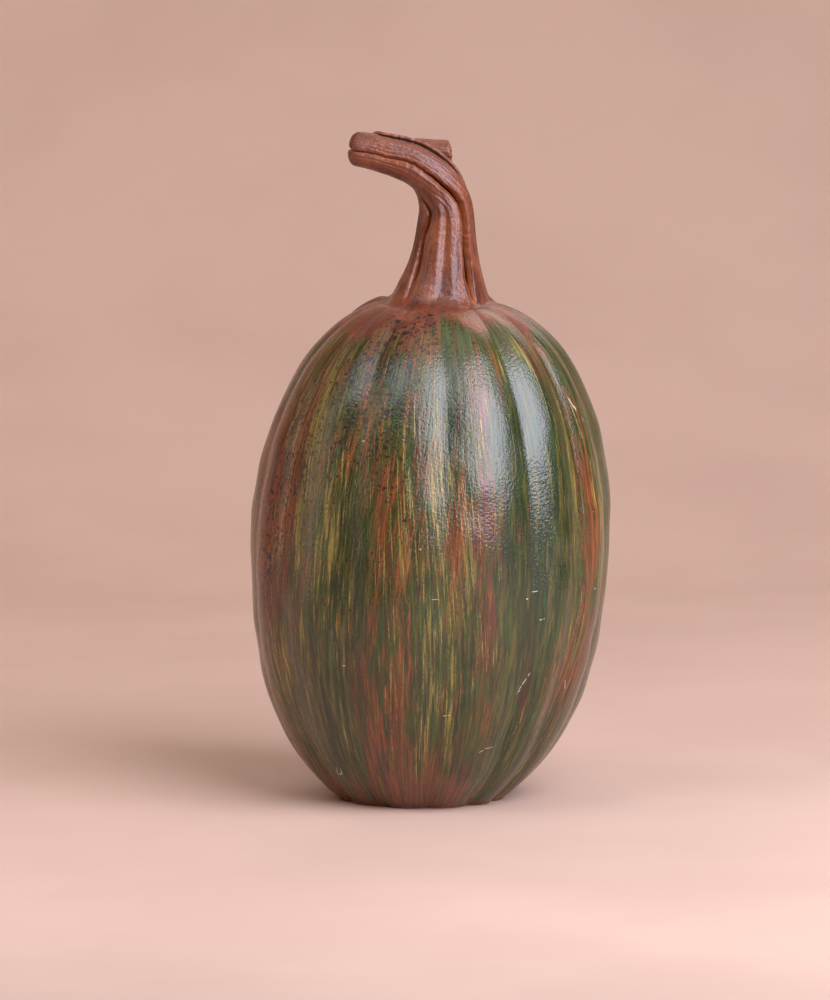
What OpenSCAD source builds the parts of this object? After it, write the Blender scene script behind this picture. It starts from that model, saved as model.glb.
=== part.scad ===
// Ceramic pumpkin figure: a tall lobed gourd, built hollow in two clay halves, with a crooked
// stem of clay rolls twisted round one another on a smeared collar. Nothing on it moves.
// Millimetres. +Z is up and -Y is the front. The origin is the middle of the flat foot.

/* [Body] */
// Largest radius of the body, measured over the lobes
body_r = 64; // [56:1:72]
// Height of the widest girth, where the two halves are joined
girth_z = 85; // [82:1:90]
// Height of the flat seat on the crown that the stem stands on
seat_z = 175.5; // [172:0.5:177]
// Height above the girth at which the crown would close, if it had no seat
crown_reach = 93.5; // [92:0.5:100]
// Depth below the girth at which the bottom would close, if it had no foot
foot_reach = 93.7; // [92:0.1:100]
// Sideways lean of the body's axis, per millimetre of height
lean = 0.034; // [0:0.002:0.06]
// Thickness of the clay wall under a lobe
wall = 7; // [5:0.5:9]
// Thickness of the clay floor over the foot, and of the crown under the stem
floor_t = 8; // [6:0.5:10]

/* [Lobes] */
// Depth of the grooves between the lobes
groove_depth = 2.6; // [1:0.1:4]
// How rounded a lobe is across: low is flat with a narrow groove, high is a soft wave
lobe_round = 0.75; // [0.5:0.05:1]

/* [Seam and vent] */
// Thickness of the clay coil pressed into the inside of the girth seam
coil_d = 6; // [4:0.5:8]
// Diameter of the hole in the foot that lets the hot air out in the kiln
vent_d = 8; // [5:0.5:10]
// Distance of that hole behind the middle of the foot
vent_back = 14; // [10:1:18]

/* [Stem] */
// Length of the upright run of the stem, along its middle
rise_len = 32; // [24:1:40]
// Length of the bend
bend_len = 24.5; // [20:0.5:30]
// Length of the crook, the run after the bend
crook_len = 22; // [14:1:28]
// Angle the bend turns through
bend_turn = 70; // [50:1:80]
// Radius of the stem at its tip
tip_r = 6.3; // [5:0.1:8]
// Angle the rolls twist through as they pass the bend
twist = 48; // [0:1:60]
// Depth of the cracks between the rolls, as a share of the stem's radius
crack_share = 0.18; // [0.05:0.01:0.25]
// Height of the smeared collar round the stem's foot
collar_h = 9; // [6:0.5:12]

/* [Straight roll on top] */
// Diameter of the short straight roll that lies on the crook and overshoots the bend
top_roll_d = 8; // [6:0.5:9]
// Length of that roll
top_roll_len = 27; // [20:1:32]

/* [Hidden] */
$fn = 96;

// The grooves, as angles from the front towards +X. The lobes are of unequal width.
grooves = [-54.8, -26.5, 4.6, 34.3, 58.8, 80, 106, 135, 165, 196, 226, 254, 281];
// Powers of the outline above and below the girth: how full the shoulder and the foot are
crown_powers = [2.25, 0.38];
foot_powers = [2.05, 0.45];
// Facets across a lobe, and rows of facets up each half
lobe_steps = 6;
half_rows = 13;
// The lower half is drawn this far below the foot and cut off flat
foot_cut = 4;

// The cracks between the stem's rolls at its foot, as angles from the front towards +X
cracks = [-47, 45, 132, 190, 250, 313];
roll_steps = 7;
rise_turn = 8;
crook_turn = 14;
stem_start = [6.8, seat_z];
start_dir = 82;
stem_len = rise_len + bend_len + crook_len;
// The stem's radius is the tip's, and a taper, and a flare that dies away above the foot
taper_r = 4.0;
flare_r = 9.2;
flare_len = 14;
twist_from = 28;
twist_len = 26;
crack_fade = 12;
tip_round = 3;
stem_rows = 22;
collar_steps = 4;

// The straight roll's blunt end, and the way it points from there
top_roll_end = [11.3, 5.6, 229.4];
top_roll_pitch = 4;
top_roll_yaw = 0;

green = [0.24, 0.31, 0.19];
olive = [0.36, 0.36, 0.20];
raw_clay = [0.66, 0.38, 0.26];
dark_clay = [0.52, 0.28, 0.20];
stem_clay = [0.60, 0.33, 0.23];

function smooth(t) = let (c = min(1, max(0, t))) c * c * (3 - 2 * c);
function mix(a, b, t) = a * (1 - t) + b * t;

// ---- The body's outline and lobes ----

// Outer radius over the lobes at a height, for a body of radius r that closes at reach_up and reach_down
function outline(z, r, reach_up, reach_down) = z >= girth_z
    ? r * pow(max(0, 1 - pow((z - girth_z) / reach_up, crown_powers[0])), crown_powers[1])
    : r * pow(max(0, 1 - pow((girth_z - z) / reach_down, foot_powers[0])), foot_powers[1]);
function body_outline(z) = outline(z, body_r, crown_reach, foot_reach);

// The grooves are shallower where the body is narrow
function groove_at(z) = groove_depth * min(1, body_outline(z) / (0.6 * body_r));

// A ring of points round the body, step by step across each lobe
function body_ring(z) = [
    for (i = [0 : len(grooves) - 1], j = [0 : lobe_steps - 1])
        let (next = i + 1 < len(grooves) ? grooves[i + 1] : grooves[0] + 360,
             a = mix(grooves[i], next, j / lobe_steps),
             bulge = pow(sin(180 * j / lobe_steps), lobe_round),
             r = body_outline(z) - groove_at(z) * (1 - bulge))
        [lean * z + r * sin(a), -r * cos(a), z]];

// Closed solid through rings of equal length, listed from the bottom up. The last column of
// each row may be split the other way, so that it matches the first column of a neighbour.
module skin(rings, flip_last = false) {
    n = len(rings[0]);
    top = (len(rings) - 1) * n;
    sides = [for (i = [0 : len(rings) - 2], j = [0 : n - 1])
        let (a = i * n + j, b = i * n + (j + 1) % n, c = b + n, d = a + n)
        each (flip_last && j == n - 1 ? [[a, d, b], [b, d, c]] : [[a, d, c], [a, c, b]])];
    lid = [for (j = [n - 1 : -1 : 0]) top + j];
    polyhedron([for (ring = rings) each ring], concat([[for (j = [0 : n - 1]) j]], sides, [lid]));
}

// The hollow inside: a smooth turned space on the leaning axis
module cavity() {
    rows = 28;
    bottom = floor_t;
    top = seat_z - floor_t;
    rotate([0, atan(lean), 0])
        rotate_extrude()
            polygon([for (k = [0 : rows])
                let (z = mix(bottom, top, (1 - cos(180 * k / rows)) / 2))
                [outline(z, body_r - wall, top - girth_z, girth_z - bottom), z]]);
}

module coil_ring() {
    translate([lean * girth_z, 0, girth_z])
        rotate_extrude()
            translate([body_r - wall, 0]) circle(d = coil_d, $fn = 32);
}

// ---- The stem's middle line and section ----

// End of an arc of length l that starts at p in direction d and turns by t degrees, in X and Z
function arc_end(p, d, l, t) = let (r = l * 180 / (PI * t))
    p + r * [sin(d + t) - sin(d), cos(d) - cos(d + t)];
bend_start = arc_end(stem_start, start_dir, rise_len, rise_turn);
crook_start = arc_end(bend_start, start_dir + rise_turn, bend_len, bend_turn);

// Direction and middle point of the stem, a distance s along it
function stem_dir(s) = start_dir + (s <= rise_len ? rise_turn * s / rise_len
    : s <= rise_len + bend_len ? rise_turn + bend_turn * (s - rise_len) / bend_len
    : rise_turn + bend_turn + crook_turn * (s - rise_len - bend_len) / crook_len);
function stem_mid(s) = s <= 0 ? stem_start
    : s <= rise_len ? arc_end(stem_start, start_dir, s, rise_turn * s / rise_len)
    : s <= rise_len + bend_len
        ? arc_end(bend_start, start_dir + rise_turn, s - rise_len, bend_turn * (s - rise_len) / bend_len)
    : arc_end(crook_start, start_dir + rise_turn + bend_turn, s - rise_len - bend_len,
              crook_turn * (s - rise_len - bend_len) / crook_len);

// The sections stand level at the foot and square to the stem higher up
function section_tilt(s) = (stem_dir(s) - 90) * smooth(s / collar_h);

// The stem's radius. Inside the collar it is straight, and the tip is rounded over.
function stem_r(s) = let (t = max(s, collar_h), left = stem_len - s)
    (tip_r + taper_r * (1 - t / stem_len) + flare_r * exp(-t / flare_len))
    * (left >= tip_round ? 1 : 0.5 + 0.5 * sqrt(1 - pow(1 - left / tip_round, 2)));

// A point on roll k's outside: u runs from 0 to 1 across the roll
function roll_point(k, u, s) =
    let (a = mix(cracks[k], cracks[k + 1], u) - twist * smooth((s - twist_from) / twist_len),
         share = crack_share * (0.15 + 0.85 * smooth(s / crack_fade)),
         r = stem_r(s) * (1 - share * (1 - pow(sin(180 * u), 0.6))),
         t = section_tilt(s), c = stem_mid(s))
    [c.x + r * sin(a) * cos(t), -r * cos(a), c.y + r * sin(a) * sin(t)];

// Stations along the stem, closer together at the tip
function station(i) = stem_len * (1 - pow(1 - i / stem_rows, 1.15));

// The collar's inner rings are the rolls' own stations, up to the one nearest its height
collar_row = 3;
function station_below(t) = station(round(t * collar_row));

// Roll k: a wedge of the stem, with its edge on the middle line and flat faces to its neighbours
module roll(k) {
    skin([for (i = [0 : stem_rows])
        let (s = station(i), c = stem_mid(s))
        concat([[c.x, 0, c.y]], [for (j = [0 : roll_steps]) roll_point(k, j / roll_steps, s)])],
        flip_last = true);
}

// The straight roll, which is also the trough that it leaves in the rolls under it
module straight_roll(len) {
    chamfer = 0.8;
    r = top_roll_d / 2;
    translate(top_roll_end)
        rotate([0, -90 + top_roll_pitch, top_roll_yaw])
            rotate_extrude($fn = 48)
                polygon([[0, 0], [r - chamfer, 0], [r, chamfer], [r, len - chamfer],
                         [r - chamfer, len], [0, len]]);
}

// ---- The pieces ----

module body_lower_half() {
    color(green) difference() {
        skin([for (i = [0 : half_rows])
            body_ring(mix(-foot_cut, girth_z, 1 - cos(90 * i / half_rows)))]);
        translate([-body_r, -body_r, -2 * foot_cut]) cube([2 * body_r, 2 * body_r, 2 * foot_cut]);
        cavity();
        coil_ring();
        translate([0, vent_back, -1]) cylinder(d = vent_d, h = 2 * floor_t, $fn = 48);
    }
}

module body_upper_half() {
    color(olive) difference() {
        skin([for (i = [0 : half_rows])
            body_ring(mix(girth_z, seat_z, sin(90 * i / half_rows)))]);
        cavity();
        coil_ring();
    }
}

module seam_coil() {
    color(raw_clay) coil_ring();
}

// The collar fills the corner between the seat and the rolls, and feathers out on both
module stem_collar() {
    rim_r = body_outline(seat_z) - groove_at(seat_z) - 0.3;
    n = (len(cracks) - 1) * roll_steps;
    inner_rows = 2;
    rings = [
        for (i = [0 : inner_rows]) [for (k = [0 : len(cracks) - 2], j = [0 : roll_steps - 1])
            roll_point(k, j / roll_steps, station_below(i / inner_rows))],
        for (i = [1 : collar_steps]) [for (k = [0 : len(cracks) - 2], j = [0 : roll_steps - 1])
            let (v = 1 - i / collar_steps, a = mix(cracks[k], cracks[k + 1], j / roll_steps),
                 high = roll_point(k, j / roll_steps, station(collar_row)),
                 rim = [lean * seat_z + rim_r * sin(a), -rim_r * cos(a), seat_z],
                 flat = mix(high, rim, pow(1 - v, 2.2)))
            [flat.x, flat.y, mix(seat_z, high.z, v)]]];
    rows = len(rings);
    color(dark_clay) polyhedron([for (ring = rings) each ring],
        [for (i = [0 : rows - 1], j = [0 : n - 1])
            let (a = i * n + j, b = i * n + (j + 1) % n,
                 up = (i + 1) % rows, d = up * n + j, c = up * n + (j + 1) % n)
            each [[a, b, c], [a, c, d]]]);
}

module stem_roll_front() { color(stem_clay) roll(0); }
module stem_roll_right() { color(stem_clay * 1.05) top_trough() roll(1); }
module stem_roll_back() { color(stem_clay * 0.92) top_trough() roll(2); }
module stem_roll_back_left() { color(stem_clay * 0.86) top_trough() roll(3); }
module stem_roll_left() { color(stem_clay * 0.97) roll(4); }
module stem_roll_top() { color(stem_clay * 0.9) straight_roll(top_roll_len); }
module top_trough() {
    difference() {
        children();
        straight_roll(top_roll_len);
    }
}

body_lower_half();
body_upper_half();
seam_coil();
stem_collar();
stem_roll_front();
stem_roll_right();
stem_roll_back();
stem_roll_back_left();
stem_roll_left();
stem_roll_top();
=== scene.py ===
"""Ceramic pumpkin figure: the looks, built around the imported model.

The figure's lengths are in millimetres until a mesh is made, and the studio's are in metres. Angles
are in degrees from the front (-Y) towards the right (+X). The whole outside is one surface, from the
foot up to the tips of the stem's rolls: a body grid, a collar that eases from the dome into the stem,
and five rolls. Their pieces are closed solids cut from it that share its normals. The short roll on
top is a solid of its own, and the seam coil is the CAD's own.
"""

import math

import bpy
import numpy as np
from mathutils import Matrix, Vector


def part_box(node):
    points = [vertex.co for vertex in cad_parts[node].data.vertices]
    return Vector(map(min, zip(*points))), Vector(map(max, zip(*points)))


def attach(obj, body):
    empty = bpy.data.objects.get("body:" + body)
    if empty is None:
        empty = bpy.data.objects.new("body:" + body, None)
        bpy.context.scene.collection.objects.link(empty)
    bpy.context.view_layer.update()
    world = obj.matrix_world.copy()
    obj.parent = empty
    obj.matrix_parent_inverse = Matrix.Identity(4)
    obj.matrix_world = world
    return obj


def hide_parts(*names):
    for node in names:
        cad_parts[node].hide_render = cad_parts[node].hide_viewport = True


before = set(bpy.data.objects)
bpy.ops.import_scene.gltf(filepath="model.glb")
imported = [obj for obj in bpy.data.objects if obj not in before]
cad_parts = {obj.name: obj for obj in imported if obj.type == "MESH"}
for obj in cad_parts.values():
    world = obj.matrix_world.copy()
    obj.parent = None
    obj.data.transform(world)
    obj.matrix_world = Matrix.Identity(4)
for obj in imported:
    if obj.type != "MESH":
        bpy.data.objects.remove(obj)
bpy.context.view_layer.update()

join = np.concatenate
MM = 0.001
SEAM_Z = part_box("body_lower_half")[1].z / MM
SEAT_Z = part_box("body_upper_half")[1].z / MM
CROWN_T = 8
CAVITY_TOP = SEAT_Z - CROWN_T

# ---- The body ----

BODY_R = 64  # at the widest girth, over the lobes
CROWN_REACH = 93.5  # from the girth to where the outline would close above it, and below it
FOOT_REACH = 93.7
CROWN_POWERS = (2.25, 0.38)  # how full the outline is above the girth, and below it
FOOT_POWERS = (2.05, 0.45)
LEAN = 0.034  # how far the middle moves to the right for each unit of height
WALL = 7
FLOOR_T = 8
VENT_R, VENT_Y = 4.0, 14.0
FOOT_EDGE_Z = 0.9
FOOT_ROUND = 1.1
# Each groove's angle and depth, and how much the lobe to its right stands proud
GROOVES = [-54.8, -26.5, 4.6, 34.3, 58.8, 80, 106, 135, 165, 196, 226, 254, 281]
GROOVE_DEPTH = [2.3, 1.9, 1.9, 2.9, 3.4, 2.6, 2.8, 2.6, 3.0, 2.6, 2.8, 2.6, 2.6]
SWELL = [0.2, 0.1, 0.2, 0.3, 0.0, 0.3, -0.2, 0.3, -0.4, 0.2, 0.1, -0.3, 0.0]
FULL_DEPTH_R = 38  # the grooves run out below this radius
DENT, FINE_DENT = 0.3, 0.10
# One shoulder at the back left stands higher than the rest
SHOULDER_ANGLE, SHOULDER_WIDE, SHOULDER_LIFT = -119, 15, 2.1
SHOULDER_FROM, SHOULDER_RISE = 164, 11
ROW_STEP = 0.9

# ---- The stem ----

CRACK_ANGLES = [-47, 45, 132, 190, 250, 313]
ROLL_NAMES = ["stem_roll_" + side for side in ("front", "right", "back", "back_left", "left")]
ROLL_COLUMNS = [102, 96, 64, 67, 71]
STEM_START = (6.8, SEAT_Z)
START_DIR = 82  # the way the stem leaves the crown, up from +X
RUNS = [(32, 8), (24.5, 70), (22, 14)]  # (length, turn) of the rise, the bend and the crook
STEM_LEN = sum(length for length, _ in RUNS)
STEM_R, TAPER_R, FLARE_R, FLARE_LEN = 6.3, 4.0, 9.2, 14
TWIST, TWIST_FROM, TWIST_LEN = 48, 28, 26
COLLAR_TOP = 7.0  # how far up the stem the collar reaches
COLLAR_IN = 8  # how far in under the stem it starts from the dome
COLLAR_START = -2.0
COLLAR_ROWS = 34
ROLL_STEP = 0.34
SMEAR = 0.24
FRONT = np.array([0.0, -1.0, 0.0])


def smooth(t):
    """Eases from 0 to 1 as t goes from 0 to 1."""
    t = np.clip(t, 0, 1)
    return t * t * (3 - 2 * t)


def mix(a, b, t):
    """From a at t = 0 to b at t = 1."""
    return a * (1 - t) + b * t


def hump(off, wide):
    """1 in the middle, falling away smoothly on both sides."""
    return np.exp(-((off / wide) ** 2))


def unit(vector):
    return vector / np.linalg.norm(vector)


def along(stops, s):
    """The value at s, eased between a few (place, value) stops."""
    places, values = zip(*stops)
    s = np.asarray(s, float)
    out = np.full(s.shape, float(values[0]))
    for (p0, v0), (p1, v1) in zip(stops, stops[1:]):
        out = np.where(s >= p0, v0 + (v1 - v0) * smooth((s - p0) / (p1 - p0)), out)
    return out


def ripple(seed, waves, *axes):
    """Smooth seeded noise of about unit size: waves is (count, highest frequency on each axis)."""
    rng = np.random.RandomState(seed)
    count, *highest = waves
    total = 0
    for _ in range(count):
        phase = rng.uniform(0, 2 * np.pi)
        for axis, (values, whole) in enumerate(axes):
            f = rng.uniform(-highest[axis], highest[axis])
            phase = phase + values * (np.radians(round(f)) if whole else f)
        total = total + np.cos(phase)
    return total * math.sqrt(2 / count)


def jagged(seed, step, s):
    """Broken-line noise along s, between -1 and 1."""
    rng = np.random.RandomState(seed)
    places = np.arange(-20, 120, step)
    return np.interp(s, places, rng.uniform(-1, 1, len(places)))


def outline(z, r=BODY_R, up=CROWN_REACH, down=FOOT_REACH):
    """Radius over the lobes at a height."""
    z = np.asarray(z, float)
    high = np.clip(1 - (np.clip(z - SEAM_Z, 0, None) / up) ** CROWN_POWERS[0], 0, 1) ** CROWN_POWERS[1]
    low = np.clip(1 - (np.clip(SEAM_Z - z, 0, None) / down) ** FOOT_POWERS[0], 0, 1) ** FOOT_POWERS[1]
    return r * np.where(z >= SEAM_Z, high, low)


def reach_at(r, reach, powers, widest=BODY_R):
    """How far from the girth the outline has a radius: the outline's formula the other way round."""
    return reach * np.clip(1 - (r / widest) ** (1 / powers[1]), 0, 1) ** (1 / powers[0])


def lobe_position(angle, z):
    """(which lobe, how far across it from 0 to 1) at each angle and height. The grooves wander a little."""
    angle, z = np.broadcast_arrays(angle, z)
    n = len(GROOVES)
    where = np.zeros(angle.shape)
    lobe = np.zeros(angle.shape, int)
    wander = [1.1 * ripple(40 + i, (3, 0.05), (z, False)) for i in range(n)]
    edges = [GROOVES[i % n] + 360 * (i // n) + wander[i % n] for i in range(n + 1)]
    for turn in (-360, 0, 360):
        for i in range(n):
            across = (angle + turn - edges[i]) / (edges[i + 1] - edges[i])
            inside = (across >= 0) & (across < 1)
            where = np.where(inside, across, where)
            lobe = np.where(inside, i, lobe)
    return lobe, where


def body_point(angle, z):
    """Points on the body's outside."""
    angle, z = np.broadcast_arrays(np.asarray(angle, float), np.asarray(z, float))
    lobe, across = lobe_position(angle, z)
    r = outline(z)
    crest = np.sin(np.pi * across)
    bulge = (crest**2 + 0.02) ** 0.42
    depth = np.array(GROOVE_DEPTH + GROOVE_DEPTH[:1])
    depth = mix(depth[lobe], depth[lobe + 1], smooth(across))
    shallower = mix(1, 0.8, smooth((z - 60) / 40) * smooth((150 - z) / 30))
    depth = depth * np.clip(r / FULL_DEPTH_R, 0, 1) * shallower
    swell = np.array(SWELL)[lobe]
    dents = DENT * ripple(5, (14, 6, 0.12), (angle, True), (z, False))
    dents = dents + FINE_DENT * ripple(6, (24, 22, 0.5), (angle, True), (z, False))
    r = r - depth * (1 - bulge) + np.clip(r / 30 - 0.4, 0, 1) * (swell * crest**2 + dents)
    a = np.radians(angle)
    off = (angle - SHOULDER_ANGLE + 180) % 360 - 180
    high = smooth((z - SHOULDER_FROM) / SHOULDER_RISE)
    lift = SHOULDER_LIFT * hump(off, SHOULDER_WIDE) * high
    return np.stack([LEAN * z + r * np.sin(a), -r * np.cos(a), z + lift], -1)


# ---- The stem's middle line ----


def middle(s):
    """(x, z, direction in degrees) of the stem's middle line a distance s along it."""
    s = np.asarray(s, float)
    x = np.zeros(s.shape)
    z = np.zeros(s.shape)
    direction = np.zeros(s.shape)
    px, pz, d, begin = *STEM_START, START_DIR, 0.0
    for i, (length, turn) in enumerate(RUNS):
        here = (s >= begin) | (i == 0)
        t = s - begin
        bend = turn / length
        radius = 180 / (math.pi * bend)
        d0, d1 = math.radians(d), np.radians(d + bend * t)
        x = np.where(here, px + radius * (np.sin(d1) - math.sin(d0)), x)
        z = np.where(here, pz + radius * (math.cos(d0) - np.cos(d1)), z)
        direction = np.where(here, d + bend * t, direction)
        end = math.radians(d + turn)
        px, pz = px + radius * (math.sin(end) - math.sin(d0)), pz + radius * (math.cos(d0) - math.cos(end))
        d, begin = d + turn, begin + length
    return x, z, direction


def stem_radius(s):
    return STEM_R + TAPER_R * (1 - s / STEM_LEN) + FLARE_R * np.exp(-s / FLARE_LEN)


def stem_frame(s):
    """Middle point and the two directions across the stem: to the front, and to the outside of the bend."""
    x, z, direction = middle(s)
    tilt = np.radians((direction - 90) * smooth(s / 9))
    nil = np.zeros_like(x)
    centre = np.stack([x, nil, z], -1)
    outside = np.stack([np.cos(tilt), nil, np.sin(tilt)], -1)
    return centre, outside


# Each crack between two rolls, as (place along the stem, amount) stops: its depth, half its gap, how
# wide the rolls' edges are rounded before and after it, and how it swings. Also how ragged it is.
CRACKS = [
    {  # front and left
        "depth": [(1.5, 0), (6, 3.0), (12, 4.4), (30, 4.0), (44, 2.6), (60, 1.2), (80, 1.0)],
        "gap": [(4, 0), (9, 0.6), (26, 0.7), (34, 0.3), (44, 0.08), (80, 0.05)],
        "before": [(0, 2.4), (10, 1.0), (32, 0.8), (44, 1.2), (80, 1.3)],
        "after": [(0, 3.0), (14, 3.4), (30, 2.8), (80, 1.2)],
        "swing": [(0, 0), (12, -5), (23, -13), (35, 8), (46, 4), (56, 4), (66, 16), (80, 16)],
        "ragged": 0.12,
    },
    {  # front and right
        "depth": [(1.5, 0), (5, 3.0), (12, 4.6), (40, 3.8), (52, 1.6), (66, 1.1), (80, 1.1)],
        "gap": [(6, 0), (12, 0.5), (36, 0.55), (46, 0.2), (54, 0.06), (80, 0.06)],
        "before": [(0, 3.2), (10, 4.0), (26, 3.2), (40, 2.2), (54, 1.2), (80, 0.9)],
        "after": [(0, 1.2), (20, 0.6), (46, 0.7), (56, 1.1), (80, 0.9)],
        "swing": [(0, 0), (20, 1), (34, 4), (44, -1), (56, 4), (66, 0), (80, 0)],
        "ragged": 0.22,
    },
    {  # right and back
        "depth": [(2.5, 0), (9, 1.6), (30, 2.4), (44, 2.8), (66, 2.2), (80, 1.4)],
        "gap": [(12, 0), (22, 0.15), (36, 0.2), (44, 0.35), (62, 0.35), (70, 0.2), (80, 0.1)],
        "before": [(0, 2.0), (36, 1.0), (44, 0.5), (80, 0.6)],
        "after": [(0, 2.0), (36, 0.6), (44, 0.4), (80, 0.5)],
        "swing": [(0, 0), (28, -3), (40, -20), (50, -16), (66, -11), (73, 6), (80, 6)],
        "ragged": 0.2,
    },
    {  # back and back left
        "depth": [(3, 0), (9, 1.8), (30, 2.2), (60, 1.6), (80, 1.2)],
        "gap": [(12, 0), (24, 0.2), (50, 0.12), (80, 0.08)],
        "before": [(0, 1.8), (80, 1.2)],
        "after": [(0, 1.8), (80, 1.2)],
        "swing": [(0, 0), (20, 6), (40, 0), (58, 0), (70, -26), (80, -26)],
        "ragged": 0.2,
    },
    {  # back left and left
        "depth": [(3, 0), (9, 1.8), (30, 2.4), (60, 1.6), (80, 1.2)],
        "gap": [(12, 0), (24, 0.15), (50, 0.2), (80, 0.08)],
        "before": [(0, 2.0), (80, 1.3)],
        "after": [(0, 2.0), (80, 1.3)],
        "swing": [(0, 0), (18, -5), (40, 2), (80, 0)],
        "ragged": 0.16,
    },
]
ROLL_ENDS = [STEM_LEN + 0.1, STEM_LEN, 72.5, 73.5, 74.5]
TIP_LEN = 3.6
TIP_CORE = 0.3  # a tip closes at this share of the stem's radius
FULL_CREASE = 3  # the depth at which a crack's painted shade is darkest


def crack_angle(k, s):
    crack = CRACKS[k % 5]
    r = stem_radius(s)
    rough = np.degrees(crack["ragged"] * jagged(60 + k % 5, 0.9, s) / r) * smooth((s - 6) / 10)
    drift = np.degrees(0.5 * jagged(70 + k % 5, 7, s) / r) * smooth((s - 4) / 10)
    twist = TWIST * smooth((s - TWIST_FROM) / TWIST_LEN)
    return CRACK_ANGLES[k] - twist + along(crack["swing"], s) + rough + drift


def tip_share(s, end):
    """1 along a roll, falling in a rounded way to 0 at its end."""
    t = np.clip((s - (end - TIP_LEN)) / TIP_LEN, 0, 1)
    return np.clip(1 - t**2.3, 0, 1) ** 0.5


def roll_core(k, s):
    """The line inside roll k that its tip closes on."""
    centre, outside = stem_frame(s)
    a = np.radians((crack_angle(k, s) + crack_angle(k + 1, s)) / 2)[..., None]
    return centre + TIP_CORE * stem_radius(s)[..., None] * (np.cos(a) * FRONT + np.sin(a) * outside)


def edge_drop(distance, width, depth):
    """How far a rounded edge falls away at a distance from its foot."""
    t = np.clip(distance / width, 0, 1)
    return depth * (1 - np.sqrt(1 - (1 - t) ** 2))


def stem_point(k, u, s):
    """Points on roll k, how deep the crack's painted shade is at each, and its angle: u across from 0 to 1,
    s along.
    """
    s, u = np.broadcast_arrays(np.asarray(s, float)[:, None], np.asarray(u, float)[None, :])
    before, after = CRACKS[k], CRACKS[(k + 1) % 5]
    r = stem_radius(s)
    left, right = crack_angle(k, s), crack_angle(k + 1, s)
    open_left, open_right = along(before["gap"], s), along(after["gap"], s)
    angle = mix(left + np.degrees(open_left / r), right - np.degrees(open_right / r), u)
    from_left, from_right = np.radians(angle - left) * r, np.radians(right - angle) * r
    drop = np.maximum(
        edge_drop(from_left - open_left, along(before["after"], s), along(before["depth"], s)),
        edge_drop(from_right - open_right, along(after["before"], s), along(after["depth"], s)),
    )
    up = smooth(s / 10)
    bulge = 0.055 * r * up * (1 - np.sin(np.pi * u) ** 0.8)
    lumps = 0.16 * ripple(80 + k, (12, 0.9, 0.25), (u * 6, False), (s, False))
    streaks = 0.045 * ripple(90 + k, (26, 60, 0.2), (u, False), (s, False))
    # the foot spreads towards the left
    spread = 1.3 * hump(s, 10) * hump(angle + 72, 42) * smooth((s + 2) / 3)
    rho = r - drop - bulge + up * (lumps + streaks) + spread
    if k == 0:  # a shallow valley down the front roll
        rho = rho - 1.3 * hump(angle + 2, 9) * smooth((s + 1) / 6) * smooth((44 - s) / 20)
    shade = drop
    if k == 2:  # the back roll's thin edge stands proud along the crook, and the roll thins out at its end
        proud = along([(36, 0), (46, 1.0), (66, 1.15), (72, 0.9)], s)
        thinner = 1.4 * smooth((s - 56) / 12) * smooth(from_left / 5)
        rho = rho + proud * hump(from_left, 2.8) - thinner
        # a painted shade line runs beside the proud edge, where it overhangs its crack
        shade = drop + 2.6 * smooth((drop - 0.25) / 0.5) * (from_left < 2) * smooth((s - 34) / 8)
    centre, outside = stem_frame(s)
    a = np.radians(angle)[..., None]
    point = centre + rho[..., None] * (np.cos(a) * FRONT + np.sin(a) * outside)
    return mix(roll_core(k, s), point, tip_share(s, ROLL_ENDS[k])[..., None]), shade, angle


# ---- Grids of the whole outside ----


def roll_u(k):
    """Places across roll k, closer together at its two edges."""
    t = np.linspace(0, 1, ROLL_COLUMNS[k] + 1)
    return t - 0.11 * np.sin(2 * np.pi * t)


def even_rows(z_from, z_to, step):
    """Heights at even spacing along the outline."""
    fine = np.linspace(z_from, z_to, 4000)
    length = join([[0], np.cumsum(np.hypot(np.diff(fine), np.diff(outline(fine))))])
    return np.interp(np.linspace(0, length[-1], max(2, round(length[-1] / step))), length, fine)


def column_angles():
    """The angle of each column of the body's grid. They line up with the stem's columns."""
    return join([
        mix(CRACK_ANGLES[k], CRACK_ANGLES[k + 1], np.arange(n) / n) for k, n in enumerate(ROLL_COLUMNS)])


def stem_ring(s):
    """One closed ring, or several, round the stem where the cracks don't gape."""
    parts = [stem_point(k, roll_u(k)[:-1], s) for k in range(5)]
    return [join([p[i] for p in parts], axis=1) for i in range(3)]


columns = column_angles()
low_z = even_rows(FOOT_EDGE_Z, SEAM_Z, ROW_STEP)
high_z = even_rows(SEAM_Z, SEAT_Z, ROW_STEP)
low_rows = body_point(columns[None, :], low_z[:, None])
high_rows = body_point(columns[None, :], high_z[:, None])

# The collar: from the dome's last row, gliding in under the stem, to the stem's flare
v = np.linspace(0, 1, COLLAR_ROWS)[:, None]
dome_r = mix(outline(SEAT_Z), outline(SEAT_Z) - COLLAR_IN, v)
dome_z = SEAM_Z + reach_at(dome_r, CROWN_REACH, CROWN_POWERS)
ring_points, ring_drop, ring_angle = stem_ring(mix(COLLAR_START, COLLAR_TOP, v[:, 0]))
dome_points = body_point(mix(columns[None, :], ring_angle, smooth(v)), dome_z)
collar_rows = mix(dome_points, ring_points, smooth(v)[..., None])
smear = ripple(21, (20, 9, 0.7), (columns[None, :], True), (v * 12, False)) * SMEAR * np.sin(np.pi * v) ** 2
collar_rows = collar_rows + smear[..., None] * np.array([0, 0, 1.0])
collar_steps = np.linalg.norm(np.diff(collar_rows, axis=0), axis=-1).mean(1)
inward = join([[0], np.cumsum(collar_steps)])  # the way up the collar from the seat


def grid_normals(points, closed):
    """Outward normals of a grid whose rows go up and whose columns go round to the right."""
    if closed:
        across = np.roll(points, -1, 1) - np.roll(points, 1, 1)
    else:
        across = np.gradient(points, axis=1)
    up = np.gradient(points, axis=0)
    n = np.cross(across, up)
    return n / np.maximum(np.linalg.norm(n, axis=-1, keepdims=True), 1e-9)


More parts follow.
